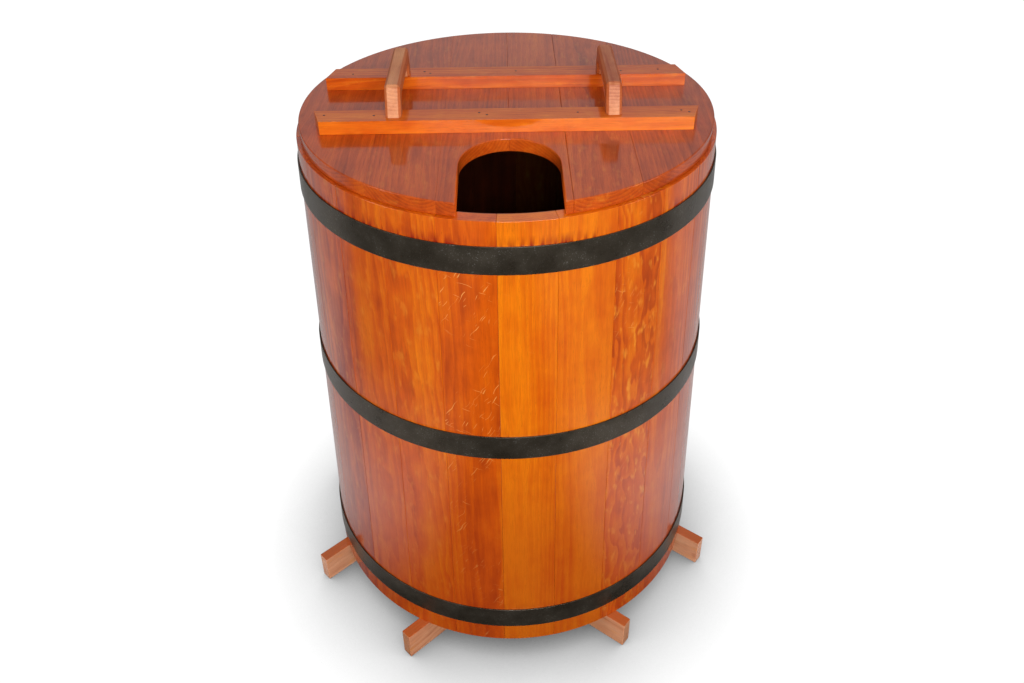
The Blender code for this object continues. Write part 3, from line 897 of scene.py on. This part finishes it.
def lidOutline(left, right, sizes):
    radius, step = lid["radius"], sizes["arcStep"]
    near, far = sizes["notchCentre"] - sizes["notchHalf"], sizes["notchCentre"] + sizes["notchHalf"]
    front = []
    if right <= near or left >= far:
        front += rimArc(left, right, radius, -1, step)
    else:
        if left < near:
            front += rimArc(left, near, radius, -1, step)
        front += notchArc(max(left, near), min(right, far), sizes)
        if right > far:
            front += rimArc(far, right, radius, -1, step)
    back = rimArc(left, right, radius, 1, step)
    outline = front + back[::-1]
    return [point for index, point in enumerate(outline) if math.dist(point, outline[index - 1]) > 0.00002]


def buildLidBoards(sizes):
    boards = newBoards()
    edges = (-lid["radius"], *sizes["seams"], lid["radius"])
    for index, (left, right) in enumerate(zip(edges, edges[1:])):
        part = prism(lidOutline(left, right, sizes), lid["low"], lid["high"])
        pourBoard(boards, part, (1, 0, 0), (0, 1, 0), sizes["looks"][index], 40 + index)
    weight = boards.edges.layers.float.new("bevel_weight_edge")
    for line in boards.edges:
        near, far = (end.co for end in line.verts)
        line[weight] = float(abs(near.z - far.z) < 0.00001)
        for seam, share in zip(sizes["seams"], sizes["seamEdges"]):
            if abs(near.x - seam) < 0.00001 and abs(far.x - seam) < 0.00001:
                line[weight] = share
    source = addObject("lid source", meshOf(boards, "lid boards"))
    source.data.materials.append(lidWood)
    bevelObject(source, sizes["edge"])
    source.modifiers["bevel"].limit_method = "WEIGHT"
    keepPiece("lidBoards", source, "lid", "lid_wood", *[f"lid_board_{n}" for n in range(1, 7)])


buildLidBoards(lidSizes)
print("lid boards")


# pieces of wood with square edges

def buildWood(name, body, slot, material, edge, boards, segments=2, angle=40):
    made = newBoards()
    for node, across, along, look, seed in boards:
        pourBoard(made, cadPart(node), across, along, look, seed)
    source = addObject(name, meshOf(made, name))
    source.data.materials.append(material)
    bevelObject(source, edge, segments, angle)
    keepPiece(name, source, body, slot, *[row[0] for row in boards])


buildWood(
    "battens", "lid", "batten_wood", battenWood, 0.0016,
    [
        ("batten_front", (0, 0, 1), (1, 0, 0), (0.26, 0.2, 0.1), 61),
        ("batten_rear", (0, 0, 1), (1, 0, 0), (0.44, 0.3, 0.1), 62),
    ],
)
buildWood(
    "handles", "lid", "handle_wood", handleWood, 0.0009,
    [
        ("handle_left", (1, 0, 0), (0, 1, 0), (0.40, 0.1, 0.0), 71),
        ("handle_right", (1, 0, 0), (0, 1, 0), (0.52, 0.1, 0.0), 75),
    ],
    angle=20,
)
leftTurn, rightTurn = math.radians(-47.5), math.radians(51.8)
leftWay = (math.sin(leftTurn), -math.cos(leftTurn), 0)
rightWay = (math.sin(rightTurn), -math.cos(rightTurn), 0)
buildWood(
    "joists", "barrel", "joist_wood", joistWood, 0.0014,
    [
        ("joist_left_1", (0, 0, 1), leftWay, (0.35, 0.4, 0.1), 81),
        ("joist_left_2", (0, 0, 1), leftWay, (0.45, 0.4, 0.1), 82),
        ("joist_right_1", (0, 0, 1), rightWay, (0.40, 0.4, 0.1), 83),
        ("joist_right_2", (0, 0, 1), rightWay, (0.38, 0.4, 0.1), 84),
    ],
)
buildWood(
    "floorBoards", "barrel", "floor_wood", innerShadeWood, 0.0014,
    [
        (f"floor_board_{n}", (1, 0, 0), (0, 1, 0), (0.3 + 0.1 * (n % 3), 0.3, 0.0), 90 + n)
        for n in range(1, 6)
    ],
)
buildWood(
    "seat", "barrel", "seat_wood", innerShadeWood, 0.0018,
    [
        ("seat_board_1", (0, 1, 0), (1, 0, 0), (0.4, 0.3, 0.1), 96),
        ("seat_board_2", (0, 1, 0), (1, 0, 0), (0.3, 0.3, 0.1), 97),
        ("seat_ledger_left", (0, 0, 1), (0, 1, 0), (0.5, 0.3, 0.1), 98),
        ("seat_ledger_right", (0, 0, 1), (0, 1, 0), (0.5, 0.3, 0.1), 99),
    ],
)
print("wooden pieces")


# screws under the lid and nails in the battens

fixings = {
    "screw": (
        (0.0, 0.0018), (0.0016, 0.0018), (0.0020, 0.0), (0.0042, 0.0),
        (0.0045, 0.0003), (0.0022, 0.003), (0.0022, 0.006), (0, 0.006),
    ),
    "nail": ((0, 0.00035), (0.0016, 0.0003), (0.0021, 0.0001), (0.0021, -0.001), (0, -0.001)),
    "frontNails": (
        (-0.328, -0.100), (-0.238, -0.104), (-0.049, -0.098), (-0.035, -0.107),
        (0.128, -0.102), (0.315, -0.099), (0.328, -0.107),
    ),
    "rearNails": (
        (-0.300, 0.092), (-0.160, 0.100), (-0.148, 0.091), (0.020, 0.097),
        (0.214, 0.100), (0.226, 0.091), (0.300, 0.096),
    ),
}


def buildFixings(sizes):
    names = [f"handle_screw_{side}_{end}" for side in ("left", "right") for end in ("front", "rear")]
    places = []
    for name in names:
        low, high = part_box(name)
        places.append(((low.x + high.x) / 2, (low.y + high.y) / 2, low.z))
    bm = turned(sizes["screw"], 32)
    for vert in bm.verts:
        radius = math.hypot(vert.co.x, vert.co.y)
        if 0.001 < radius < 0.0021 and vert.co.z < 0.0025:
            pinch = 0.35 + 0.65 * abs(math.cos(2 * math.atan2(vert.co.y, vert.co.x))) ** 6
            vert.co.x *= pinch
            vert.co.y *= pinch
    blank = addObject("screw blank", meshOf(bm, "screw blank"))
    points = pointObject("screw points", places, turn=[(0.0, 0.0, 0.4 + n) for n in range(4)])
    runTree(points, copyTree, blank, screwSteel)
    keepPiece("screws", points, "lid", "screw_steel", *names)
    bpy.data.objects.remove(blank)
    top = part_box("batten_front")[1].z
    places = [(x, y, top) for x, y in (*sizes["frontNails"], *sizes["rearNails"])]
    blank = addObject("nail blank", meshOf(turned(sizes["nail"], 20), "nail blank"))
    points = pointObject("nail points", places, turn=[(0.0, 0.0, 0.0)] * len(places))
    runTree(points, copyTree, blank, nailSteel)
    keepPiece("nails", points, "lid", "screw_steel")
    bpy.data.objects.remove(blank)


buildFixings(fixings)
print("fixings")
